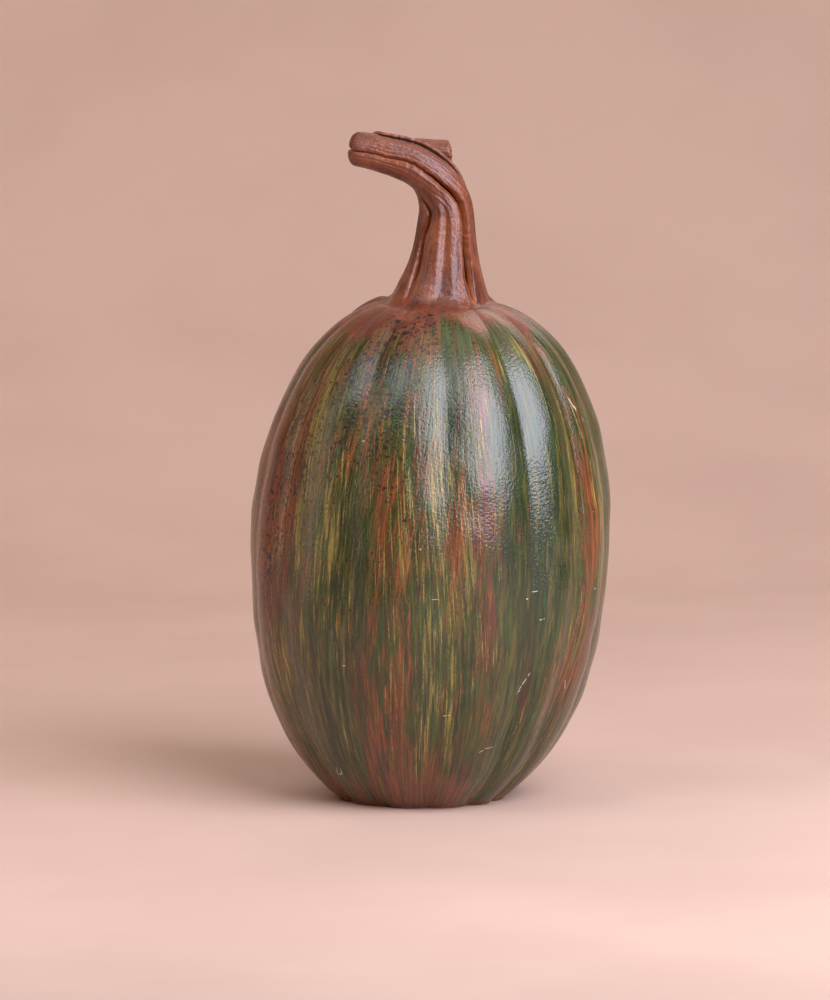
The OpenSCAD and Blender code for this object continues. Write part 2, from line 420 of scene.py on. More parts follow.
above = stem_ring(np.linspace(COLLAR_TOP, COLLAR_TOP + 1, 4)[1:])[0]
outside_rows = join([low_rows, high_rows[1:], collar_rows[1:], above])
outside_normals = grid_normals(outside_rows, True)
seam_row = len(low_rows) - 1
seat_row = seam_row + len(high_rows) - 1
collar_row = seat_row + COLLAR_ROWS - 1


# ---- Pieces ----


# Directions for the brush strokes, each wandering and leaning in its own way
FLOWS = ["flow_a", "flow_b", "flow_c"]
FLOW_TILTS = (0.0, 0.035, -0.045)
PAINTS = ["green", "yellow", "orange", "crimson"]
VALUE_NAMES = FLOWS + PAINTS + ["specks", "clay", "crease"]
BARE = 3.0  # the value of "clay" where there is no paint at all
PAINT_TOP = 164.5


def add_object(name, data):
    thing = bpy.data.objects.new(name, data)
    bpy.context.scene.collection.objects.link(thing)
    return thing


class Solid:
    """Gathers the vertices and faces of one closed piece. Skin faces take the surface's own normals."""

    def __init__(self, name, body="root"):
        self.name, self.body = name, body
        self.verts, self.normals, self.faces, self.skin = [], [], [], []
        self.values = []
        self.count = 0

    def add(self, points, normals=None, **values):
        """Adds a grid of points and what the materials read there. Returns the grid of their indices."""
        points = np.asarray(points, float)
        flat = points.reshape(-1, 3)
        self.verts.append(flat)
        self.normals.append(np.zeros_like(flat) if normals is None else np.asarray(normals).reshape(-1, 3))
        index = np.arange(self.count, self.count + len(flat)).reshape(points.shape[:-1])
        for name, given in values.items():
            given = np.asarray(given, float)
            wide = given.shape[-1:] if name in FLOWS else ()
            self.values.append((name, self.count, np.broadcast_to(given, points.shape[:-1] + wide)))
        self.count += len(flat)
        return index

    def quads(self, index, closed=True, skin=False, flip=False):
        """Faces between neighbouring rows of a grid of indices."""
        if closed:
            index = join([index, index[:, :1]], axis=1)
        a, b, c, d = index[:-1, :-1], index[:-1, 1:], index[1:, 1:], index[1:, :-1]
        rows = np.stack([a, b, c, d] if not flip else [d, c, b, a], -1).reshape(-1, 4)
        self.faces += rows.tolist()
        self.skin += [skin] * len(rows)

    def fan(self, ring, tip, flip=False, normal=None, **values):
        """Closes a ring of indices with triangles to one more point."""
        ring = list(ring)
        tip = int(self.add([tip], None if normal is None else [normal], **values)[0])
        for a, b in zip(ring, ring[1:] + ring[:1]):
            self.faces.append([a, tip, b] if not flip else [a, b, tip])
            self.skin.append(False)

    def build(self, material, slot, *nodes):
        """Makes the mesh, which rides its body and stands for its CAD nodes. Its slot argument is not used.
        """
        verts = join(self.verts) * MM
        normals = join(self.normals)
        mesh = bpy.data.meshes.new(self.name)
        mesh.from_pydata(verts.tolist(), [], self.faces)
        mesh.update()
        mesh.polygons.foreach_set("use_smooth", [True] * len(mesh.polygons))
        # a number or a vector per vertex for the materials to read
        for name in VALUE_NAMES:
            wide, kind, field = (3, "FLOAT_VECTOR", "vector") if name in FLOWS else (1, "FLOAT", "value")
            whole = np.zeros((self.count, wide))
            for other, first, given in self.values:
                if other == name:
                    whole[first:first + given.size // wide] = given.reshape(-1, wide)
            mesh.attributes.new(name, kind, "POINT").data.foreach_set(field, whole.reshape(-1))
        flat = np.empty(len(mesh.polygons) * 3)
        mesh.polygons.foreach_get("normal", flat)
        sizes = np.array([len(f) for f in self.faces])
        corner = np.empty(len(mesh.loops), int)
        mesh.loops.foreach_get("vertex_index", corner)
        loop_normals = np.repeat(flat.reshape(-1, 3), sizes, axis=0)
        smooth_skin = np.repeat(np.array(self.skin), sizes)
        pick = smooth_skin & (np.linalg.norm(normals[corner], axis=1) > 0.5)
        loop_normals[pick] = normals[corner][pick]
        mesh.normals_split_custom_set(loop_normals.tolist())
        mesh.materials.append(material)
        piece = add_object(self.name, mesh)
        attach(piece, self.body)
        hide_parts(*nodes)
        return piece


# ---- Where the paints lie ----

# The patches of each paint: (angle, height, half-width in degrees, half-height, amount). The amounts
# push that paint's brush strokes forward, or back where they are negative.
PATCHES = {
    "green": [
     (-66, 108, 15, 36, -0.26), (-31, 124, 8, 30, 0.12), (-42, 40, 22, 30, 0.14),
     (-36, 36, 16, 34, 0.14), (-20, 160, 15, 12, 0.20), (-24, 84, 6, 26, 0.16),
     (5, 146, 4, 26, 0.14), (-3, 74, 8, 24, 0.10), (-1, 34, 9, 22, 0.12), (14, 56, 5, 30, 0.14),
     (12, 128, 5, 20, 0.10), (38, 106, 11, 48, 0.34), (25, 118, 5, 40, 0.18), (32, 56, 6, 30, 0.16),
     (49, 70, 5, 34, 0.14), (56, 96, 5, 50, 0.12), (68, 142, 6, 30, 0.14), (40, 22, 14, 20, 0.12),
     (96, 100, 12, 60, 0.18), (150, 70, 18, 44, 0.18), (198, 120, 14, 44, 0.20),
     (242, 60, 14, 36, 0.18),
    ],
    "yellow": [
     (-66, 162, 10, 14, 0.14), (-47, 134, 4, 34, 0.26), (-36, 100, 5, 26, 0.16),
     (-46, 36, 9, 26, 0.12), (-74, 50, 6, 22, 0.16), (-43, 46, 5, 30, 0.16), (-32, 40, 4, 24, 0.14),
     (-58, 40, 6, 26, 0.14), (-9, 92, 6, 26, 0.08), (1, 130, 5, 40, 0.14), (6, 166, 30, 7, -0.16),
     (0, 60, 6, 20, 0.05), (9, 60, 6, 34, 0.12), (12, 88, 3, 22, 0.18), (36, 96, 9, 50, -0.26),
     (40, 162, 9, 9, 0.20), (55.5, 120, 2.0, 44, 0.5), (72, 110, 5, 46, 0.24),
     (108, 120, 5, 40, 0.20), (164, 110, 6, 50, 0.20), (212, 60, 7, 36, 0.18),
     (264, 130, 6, 34, 0.18),
    ],
    "orange": [
     (-70, 108, 16, 40, 0.26), (-53, 142, 5, 22, 0.12), (-27, 120, 5, 24, 0.12),
     (-72, 30, 12, 24, 0.16), (-40, 66, 5, 26, 0.10), (-22, 144, 5, 12, 0.12),
     (-13, 108, 8, 32, 0.20), (3, 96, 4, 20, 0.14), (-20, 38, 5, 24, 0.40), (-8, 30, 5, 24, 0.42),
     (-2, 5, 24, 9, 0.40), (-20, 166, 20, 6, 0.30), (9, 102, 3.5, 24, 0.24), (37, 100, 9, 54, -0.30),
     (63, 104, 6, 50, 0.34), (54, 40, 8, 32, 0.12), (120, 96, 12, 44, 0.22), (182, 60, 12, 40, 0.22),
     (226, 124, 9, 40, 0.18), (240, 6, 200, 6, 0.14),
    ],
    "crimson": [
     (-62, 96, 10, 34, 0.22), (-16, 120, 6, 24, 0.14), (-30, 160, 14, 8, 0.16),
     (18, 108, 7, 32, 0.32), (12, 150, 5, 20, 0.26), (20, 58, 5, 30, 0.20), (40, 116, 8, 34, -0.16),
     (36, 56, 4, 28, 0.22), (70, 60, 8, 30, 0.12), (142, 130, 8, 30, 0.18), (250, 112, 8, 34, 0.16),
    ],
}
SPECKS = [  # (angle, height, half-width in degrees, half-height, amount)
    (-28, 150, 22, 22, 1.0), (-52, 118, 18, 30, 0.9), (-14, 120, 14, 30, 0.6), (-4, 168, 30, 9, 1.0),
    (-68, 90, 12, 28, 1.0), (-24, 78, 12, 22, 0.4), (170, 150, 40, 24, 0.6), (120, 60, 24, 24, 0.4),
    (236, 140, 20, 30, 0.5),
]
SCRATCHES = [  # (angle, height, tilt from upright in degrees, length, width)
    (36.5, 80, 84, 2.6, 0.22), (39.5, 70, 78, 2.4, 0.24), (36.5, 48, 24, 8.5, 0.24), (35, 44, 40, 2.4, 0.3),
    (53, 57, 70, 2.6, 0.2), (55, 55, 12, 2.4, 0.2), (74, 75, 20, 2.2, 0.3), (68, 137, -30, 2.4, 0.25),
    (27, 24, 86, 6.0, 0.18), (24, 23, 60, 2.2, 0.2), (8, 37, 82, 3.4, 0.18), (2, 79, 88, 3.0, 0.13),
    (-8, 74, 84, 2.4, 0.13), (60, 44, -18, 4.0, 0.18), (168, 60, 35, 5.0, 0.2), (232, 88, -50, 3.4, 0.2),
]


def blobs(patches, angle, z):
    total = np.zeros(np.broadcast(angle, z).shape)
    for centre, height, wide, tall, amount in patches:
        off = (angle - centre + 180) % 360 - 180
        total = total + amount * np.exp(-((off / wide) ** 2) - ((z - height) / tall) ** 2)
    return total


def paint_values(angle, z, inward=0.0):
    """What the paint material reads at each point. Beyond the seat, inward is the way up the collar."""
    angle, z, inward = np.broadcast_arrays(angle, z, np.asarray(inward, float))
    run = z + inward
    values = {}
    for i, (name, tilt) in enumerate(zip(FLOWS, FLOW_TILTS)):
        wander = 1.3 * ripple(30 + i, (9, 4, 0.05), (angle, True), (run, False)) + tilt * (run - 90)
        a = np.radians(angle + wander)
        values[name] = np.stack([np.cos(a), np.sin(a), run * MM], -1)
    for paint in PAINTS:
        values[paint] = blobs(PATCHES[paint], angle, z)
    values["specks"] = np.clip(blobs(SPECKS, angle, z), 0, 1) * (1 - smooth(inward / 5))
    ragged = 2.0 * ripple(50, (10, 11, 0.0), (angle, True), (z, False))
    edge = PAINT_TOP + 5 * hump(angle - 38, 30) + 2 * hump(angle + 50, 20)
    values["clay"] = np.clip((run - edge + ragged) / 6, 0, BARE) + 0.8 * smooth((3.5 - z) / 3.5)
    return values


# ---- The pieces ----


def cavity_radius(z):
    return outline(z, BODY_R - WALL, CAVITY_TOP - SEAM_Z, SEAM_Z - FLOOR_T)


def rings(radius, z, centre_x=None, centre_y=0.0):
    """Round rings on the body's columns."""
    radius, z = np.asarray(radius, float)[:, None], np.asarray(z, float)[:, None]
    a = np.radians(columns)[None, :]
    x = LEAN * z if centre_x is None else np.asarray(centre_x, float)
    return np.stack(np.broadcast_arrays(x + radius * np.sin(a), centre_y - radius * np.cos(a), z), -1)


def foot_rows():
    """The rounded edge under the first row, from the flat foot up."""
    turn = np.radians(np.linspace(0, 90, 6))[:-1, None]
    edge = low_rows[0][None]
    r = np.hypot(edge[..., 0], edge[..., 1])
    shrink = 1 - FOOT_ROUND * (1 - np.sin(turn)) / r
    z = FOOT_EDGE_Z * (1 - np.cos(turn)) * np.ones_like(r)
    return np.stack([edge[..., 0] * shrink, edge[..., 1] * shrink, z], -1)


def make_lower(material):
    s = Solid("body_lower")
    foot = foot_rows()
    skin = join([foot, low_rows])
    foot_normals = grid_normals(join([foot, low_rows[:2]]), True)[:len(foot)]
    normals = join([foot_normals, outside_normals[:seam_row + 1]])
    outer = s.add(skin, normals, **paint_values(columns[None, :], skin[..., 2]))
    wall_z = np.linspace(SEAM_Z, 16, 18)
    wall = rings(cavity_radius(wall_z), wall_z)
    vent = rings([VENT_R], [10.2], 0.0, VENT_Y)[0]
    t = np.linspace(0, 1, 8)[1:, None, None]
    floor = mix(wall[-1][None], vent[None], t)
    floor_r = np.hypot(floor[..., 0] - LEAN * 12, floor[..., 1])
    floor[..., 2] = SEAM_Z - reach_at(floor_r, SEAM_Z - FLOOR_T, FOOT_POWERS, BODY_R - WALL)
    bore = rings([VENT_R, VENT_R, VENT_R, VENT_R + 0.15, VENT_R + 0.6], [9, 4, 1, 0.35, 0], 0.0, VENT_Y)
    flat = mix(bore[-1][None], foot[0][None], np.linspace(0, 1, 8)[1:-1, None, None])
    inside = join([wall, floor, bore, flat])
    inner = s.add(inside, clay=BARE)
    loop = join([outer, inner, outer[:1]])
    s.quads(loop[:len(outer)], skin=True)
    s.quads(loop[len(outer) - 1:])
    return s.build(material, "painted_body", "body_lower_half")


def make_upper(material):
    s = Solid("body_upper")
    values = paint_values(columns[None, :], high_rows[..., 2])
    outer = s.add(high_rows, outside_normals[seam_row:seat_row + 1], **values)
    s.quads(outer, skin=True)
    middle_point = high_rows[-1].mean(0)
    seat = s.add(mix(high_rows[-1:], middle_point, np.array([0.3, 0.6, 0.85])[:, None, None]))
    s.quads(join([outer[-1:], seat]))
    s.fan(seat[-1], middle_point, flip=True)
    wall_z = SEAM_Z + (CAVITY_TOP - SEAM_Z) * np.sin(np.radians(np.linspace(0, 88, 20)))
    inner = s.add(rings(cavity_radius(wall_z), wall_z))
    s.quads(inner, flip=True)
    s.quads(join([inner[:1], outer[:1]]))
    s.fan(inner[-1], [LEAN * CAVITY_TOP, 0, CAVITY_TOP])
    return s.build(material, "painted_body", "body_upper_half")


def make_collar(material):
    s = Solid("stem_collar_clay")
    values = paint_values(mix(columns[None, :], ring_angle, smooth(v)), SEAT_Z, inward[:, None])
    # the cracks' depth runs down into the collar, and the material paints it as shade and light
    values["crease"] = np.clip(ring_drop / FULL_CREASE, 0, 1)
    outer = s.add(collar_rows, outside_normals[seat_row:collar_row + 1], **values)
    s.quads(outer, skin=True)
    top = collar_rows[-1]
    foot = top.copy()
    foot[:, 2] = SEAT_Z
    inner = s.add(np.stack([mix(top, foot, 0.5), foot]))
    s.quads(join([outer[-1:], inner, outer[:1]]))
    return s.build(material, "stem_clay", "stem_collar")


def make_roll(k, material):
    s = Solid(ROLL_NAMES[k] + "_clay")
    tip_from = ROLL_ENDS[k] - TIP_LEN
    body = np.linspace(COLLAR_TOP, tip_from, round((tip_from - COLLAR_TOP) / ROLL_STEP))
    tip = tip_from + TIP_LEN * np.sin(np.radians(np.linspace(0, 88, 16)))[1:]
    below = COLLAR_TOP - (body[1] - body[0])
    stations = join([[below], body, tip])
    points, drop, angle = stem_point(k, roll_u(k), stations)
    normals = grid_normals(points, False)
    # the row below the collar's top was only needed for the normals
    points, drop, angle, normals, stations = (p[1:] for p in (points, drop, angle, normals, stations))
    run = SEAT_Z + inward[-1] - COLLAR_TOP + stations[:, None] + 0 * angle
    a = np.radians(angle)
    flow = np.stack([np.cos(a), np.sin(a), run * MM], -1)
    outer = s.add(points, normals, crease=np.clip(drop / FULL_CREASE, 0, 1), clay=BARE,
                  **dict.fromkeys(FLOWS, flow))
    s.quads(outer, closed=False, skin=True)
    # the wedge's edge on the stem's middle line, shrinking with the tip
    centre, _ = stem_frame(stations)
    spine = mix(roll_core(k, stations), centre, tip_share(stations, ROLL_ENDS[k])[:, None])
    # the wedge's inner faces, seen down the gaps, are painted fully dark as shade
    inner = s.add(spine[:, None], crease=1.0, clay=BARE, **dict.fromkeys(FLOWS, flow[:, :1]))
    s.quads(join([outer[:, -1:], inner], axis=1), closed=False)
    s.quads(join([inner, outer[:, :1]], axis=1), closed=False)
    # down through the collar to the seat
    foot_points = join([points[0], spine[:1]])
    foot_points[:, 2] = SEAT_Z
    foot = s.add(foot_points[None])
    ring = join([outer[:1], inner[:1]], axis=1)
    s.quads(join([foot, ring]))
    s.fan(foot[0], foot_points.mean(0))
    last = join([outer[-1], inner[-1]])
    s.fan(last, points[-1].mean(0), True, unit(points[-1].mean(0) - points[-4].mean(0)),
          clay=BARE, crease=0.0, **dict.fromkeys(FLOWS, flow[-1, 0]))
    return s.build(material, "stem_clay", ROLL_NAMES[k])


STUB_END = np.array([11.3, 5.6, 229.3])
STUB_R = 4.0
STUB_LEN = 27.0
STUB_PITCH = 4
STUB_COLUMNS = 72
# (place along, share of the radius) from the middle of the blunt face over its rim, and at the thin end
STUB_FACE = [
    (0.55, 0.12), (0.5, 0.35), (0.42, 0.6), (0.22, 0.8), (0.02, 0.9), (0.03, 0.96), (0.25, 1.0), (0.6, 1.01),
]
STUB_THIN_END = [(STUB_LEN - 1.2, 0.6), (STUB_LEN - 0.5, 0.45), (STUB_LEN, 0.2)]


def make_stub(material):
    """The short straight roll on top of the crook: a blunt torn end, and a thin end sunk in its bed."""
    s = Solid("stem_roll_top_clay")
    pitch = math.radians(STUB_PITCH)
    along_dir = np.array([-math.cos(pitch), 0, math.sin(pitch)])
    side = unit(np.cross(along_dir, [0, 0, 1]))
    up = np.cross(side, along_dir)
    a = np.linspace(0, 2 * np.pi, STUB_COLUMNS, endpoint=False)[None, :]
    shaft = np.linspace(1.0, STUB_LEN - 2, 70)
    taper = 1 - 0.3 * smooth((shaft - 10) / 14)
    profile = np.array(STUB_FACE + list(zip(shaft, taper)) + STUB_THIN_END)
    at, share = profile[:, :1], profile[:, 1:]
    angle = np.degrees(a)
    rough = 0.14 * ripple(120, (16, 7, 0.5), (angle, True), (at, False))
    fine = 0.05 * ripple(121, (20, 30, 0.3), (angle, True), (at, False))
    torn = 0.28 * ripple(122, (14, 9, 3.0), (angle, True), (share * 6, False)) * np.exp(-at / 0.8)
    r = STUB_R * share + (rough + fine) * smooth(at / 1.0)
    place = at + torn + 1.1 * (1 + np.cos(a)) * share**2 * np.exp(-at / 3)
    points = (STUB_END + place[..., None] * along_dir + (r * np.cos(a))[..., None] * up
              + (r * np.sin(a))[..., None] * side)
    normals = -grid_normals(points, True)
    flow = np.stack(np.broadcast_arrays(np.cos(a), np.sin(a), (SEAT_Z + 70 + at) * MM), -1)
    # the middle of the blunt torn face takes the cracks' colouring: painted orange light and a little
    # painted shade
    crease = 0.75 * hump(at - 0.5, 0.5) * np.clip(1.2 - share, 0, 1)
    outer = s.add(points, normals, clay=BARE, crease=crease, **dict.fromkeys(FLOWS, flow))
    s.quads(outer, skin=True, flip=True)
    s.fan(outer[0], points[0].mean(0), clay=BARE)
    s.fan(outer[-1], points[-1].mean(0), flip=True, clay=BARE)
    return s.build(material, "stem_clay", "stem_roll_top")


# ---- Materials ----


class Shader:
    """A short way to write a material's nodes."""

    def __init__(self, name):
        self.material = bpy.data.materials.new(name)
        self.material.use_nodes = True
        self.tree = self.material.node_tree
        self.bsdf = self.tree.nodes["Principled BSDF"]

    def node(self, kind, **settings):
        node = self.tree.nodes.new("ShaderNode" + kind)
        for key, value in settings.items():
            setattr(node, key, value)
        return node

    def feed(self, socket, value):
        if hasattr(value, "is_output"):
            self.tree.links.new(value, socket)
        elif value is not None:
            socket.default_value = value

    def surface(self, name, value):
        """Sets or links one input of the surface shader."""
        self.feed(self.bsdf.inputs[name], value)

    def value(self, name):
        return self.node("Attribute", attribute_name=name).outputs["Fac"]

    def vector(self, name):
        return self.node("Attribute", attribute_name=name).outputs["Vector"]

    def place(self):
        return self.node("TexCoord").outputs["Object"]

    def math(self, operation, a, b=None, c=None):
        node = self.node("Math", operation=operation)
        for socket, value in zip(node.inputs, (a, b, c)):
            self.feed(socket, value)
        return node.outputs[0]

    def times(self, a, by, plus=None):
        return self.math("MULTIPLY" if plus is None else "MULTIPLY_ADD", a, by, plus)

    def scaled(self, vector, by, offset=(0, 0, 0)):
        node = self.node("VectorMath", operation="MULTIPLY_ADD")
        self.feed(node.inputs[0], vector)
        node.inputs[1].default_value = by
        node.inputs[2].default_value = offset
        return node.outputs[0]

    def noise(self, vector, scale=1.0, detail=2.0, rough=0.5, distort=0.0):
        node = self.node("TexNoise")
        names = ("Vector", "Scale", "Detail", "Roughness", "Distortion")
        for name, value in zip(names, (vector, scale, detail, rough, distort)):
            self.feed(node.inputs[name], value)
        return node.outputs[0]

    def brushed(self, flow, scale, detail, rough, distort=0.0, offset=(0, 0, 0)):
        """Noise drawn out along the brush strokes: scale is (across them, along them)."""
        across, lengthwise = scale
        return self.noise(self.scaled(flow, (across, across, lengthwise), offset), 1, detail, rough, distort)

    def cells(self, vector, scale):
        """(distance to the nearest random point, that point's random number)"""
        node = self.node("TexVoronoi")
        self.feed(node.inputs["Vector"], vector)
        node.inputs["Scale"].default_value = scale
        return node.outputs["Distance"], node.outputs["Color"]

    def step(self, value, low, high, out_low=0.0, out_high=1.0):
        node = self.node("MapRange", interpolation_type="SMOOTHSTEP")
        for socket, item in zip(node.inputs, (value, low, high, out_low, out_high)):
            self.feed(socket, item)
        return node.outputs[0]

    def blend(self, amount, a, b, mode="MIX"):
        node = self.node("Mix", data_type="RGBA", blend_type=mode)
        self.feed(node.inputs[0], amount)
        self.feed(node.inputs[6], (*a, 1) if isinstance(a, tuple) else a)
        self.feed(node.inputs[7], (*b, 1) if isinstance(b, tuple) else b)
        return node.outputs[2]

    def bump(self, height, strength, distance, normal=None):
        node = self.node("Bump")
        node.inputs["Strength"].default_value = strength
        node.inputs["Distance"].default_value = distance
        self.feed(node.inputs["Height"], height)
        if normal is not None:
            self.feed(node.inputs["Normal"], normal)
        return node.outputs[0]


DARK_GREEN, LEAF_GREEN = (0.017, 0.031, 0.009), (0.045, 0.080, 0.016)
EMERALD = (0.020, 0.095, 0.028)
BROWN, OLIVE = (0.075, 0.038, 0.015), (0.090, 0.080, 0.015)
OCHRE, STRAW = (0.42, 0.29, 0.050), (0.20, 0.17, 0.045)
ORANGE, RUST = (0.29, 0.072, 0.020), (0.15, 0.042, 0.016)
CRIMSON = (0.125, 0.026, 0.016)
TERRACOTTA, PALE_CLAY, DEEP_CLAY = (0.22, 0.066, 0.027), (0.25, 0.105, 0.058), (0.085, 0.025, 0.016)
STEM_RED, STEM_BROWN = (0.150, 0.039, 0.018), (0.080, 0.021, 0.012)
# The dark colour is painted shade at the bottoms of the cracks and in pits. The orange is the cracks' walls,
# part clay colour and part painted light.
RECESS_SHADE, CREASE_ORANGE_LIT = (0.020, 0.005, 0.002), (0.30, 0.082, 0.024)
SPECK = (0.013, 0.009, 0.010)
CHIP = (0.58, 0.53, 0.48)

# The varnish, on the paint and on the bare clay
VARNISH_IOR = 1.6
PAINT_SPECULAR, CLAY_SPECULAR = 0.1, 0.2
PAINT_VARNISH, CLAY_VARNISH = 0.9, 0.4
PAINT_VARNISH_ROUGH, CLAY_VARNISH_ROUGH = 0.16, 0.14


def clay_colour(sh):
    """The bare clay of the stem and collar: red-brown, paler where it is rubbed, and in the creases orange
    walls, partly painted light, over dark bottoms of painted shade.
    """
    place, flow, crease = sh.place(), sh.vector("flow_a"), sh.value("crease")
    broad = sh.noise(place, 85, 4, 0.6)
    mottle = sh.noise(place, 260, 4, 0.65)
    streak = sh.brushed(flow, (4, 50), 5, 0.65, 0.6)
    fine = sh.brushed(flow, (18, 150), 4, 0.65, 0.3)
    grain = sh.noise(place, 1100, 2, 0.6)
    colour = sh.blend(sh.step(streak, 0.40, 0.64), STEM_RED, STEM_BROWN)
    colour = sh.blend(sh.times(sh.step(broad, 0.46, 0.66), 0.7), colour, TERRACOTTA)
    colour = sh.blend(sh.times(sh.step(mottle, 0.53, 0.68), 0.55), colour, DEEP_CLAY)
    colour = sh.blend(sh.times(sh.step(fine, 0.60, 0.74), 0.25), colour, PALE_CLAY)
    # the cracks' walls are painted orange, part clay colour and part painted light where they catch the lamp
    lit = sh.times(sh.step(crease, 0.03, 0.22), sh.step(crease, 0.97, 0.5))
    colour = sh.blend(sh.times(lit, 0.75), colour, CREASE_ORANGE_LIT)
    # the deepest parts of the cracks are painted dark as shade
    colour = sh.blend(sh.step(crease, 0.72, 1.0), colour, RECESS_SHADE)
    # small pits are painted dark with the recess colour as painted shade
    pits, _ = sh.cells(place, 420)
    rare = sh.noise(place, 190, 1, 0.5)
    pit = sh.times(sh.step(pits, 0.15, 0.08), sh.step(rare, 0.57, 0.64))
    colour = sh.blend(sh.times(pit, 0.8), colour, RECESS_SHADE)
    return colour, streak, fine, grain, pit, mottle


def clay_finish(sh, parts):
    """Roughness and normal of the bare clay, from what clay_colour returned."""
    _, streak, fine, grain, pit, mottle = parts
    rough = sh.times(mottle, 0.5, 0.10)
    rough = sh.times(sh.value("crease"), 0.3, rough)
    relief = sh.times(fine, 0.25, sh.times(pit, -1.0, streak))
    relief = sh.times(mottle, 1.4, relief)
    normal = sh.bump(relief, 0.5, 0.0007)
    return rough, sh.bump(grain, 0.4, 0.00025, normal)


def clay_material():
    sh = Shader("stem_clay_varnished")
    parts = clay_colour(sh)
    rough, normal = clay_finish(sh, parts)
    sh.surface("Base Color", parts[0])
    sh.surface("Roughness", rough)
    sh.surface("Specular IOR Level", CLAY_SPECULAR)
    sh.surface("Coat Weight", CLAY_VARNISH)
    sh.surface("Coat IOR", VARNISH_IOR)
    sh.surface("Coat Roughness", CLAY_VARNISH_ROUGH)
    sh.surface("Normal", normal)
    sh.surface("Coat Normal", normal)
    return sh.material


def strokes(sh, flow, seed, push, grain, edge, broad=(8, 34), hair=(60, 42), share=0.38):
    """Where one paint's brush strokes lie: broad patches of fine hairs, broken up by the dry brush."""
    band = sh.brushed(flow, broad, 3, 0.55, 0.2, offset=(seed, 0, 0))
    hairs = sh.brushed(flow, hair, 4, 0.72, 0.25, offset=(0, seed, 0))
    both = sh.times(hairs, 0.84 - share, sh.times(band, share))
    both = sh.times(grain, 0.16, both)
    both = sh.times(push, 0.5, both)
    return sh.step(both, edge[0], edge[1]), hairs


def scratch_marks(sh, place):
    """The pale scratches, each a short line on the surface."""
    marks = 0.0
    for angle, z, tilt, length, width in SCRATCHES:
        centre = body_point(angle, z)
        upward = body_point(angle, z + 1) - centre
        sideways = body_point(angle + 1, z) - centre
        t = math.radians(tilt)
        way = unit(math.cos(t) * unit(upward) + math.sin(t) * unit(sideways))
        away = sh.scaled(place, (1, 1, 1), tuple(-centre * MM))
        reach = sh.node("VectorMath", operation="LENGTH")
        sh.feed(reach.inputs[0], away)
        run = sh.node("VectorMath", operation="DOT_PRODUCT")
        sh.feed(run.inputs[0], away)
        run.inputs[1].default_value = tuple(way)
        span, lengthwise = reach.outputs["Value"], run.outputs["Value"]
        square = sh.math("SUBTRACT", sh.math("POWER", span, 2.0), sh.math("POWER", lengthwise, 2.0))
        aside = sh.math("SQRT", sh.math("MAXIMUM", square, 0.0))
        mark = sh.times(sh.step(aside, width * MM, 0.4 * width * MM),
                       sh.step(sh.math("ABSOLUTE", lengthwise), 0.5 * length * MM, 0.3 * length * MM))
        marks = sh.math("MAXIMUM", marks, mark)
    return sh.times(marks, sh.step(sh.noise(place, 900, 2, 0.6), 0.38, 0.52))


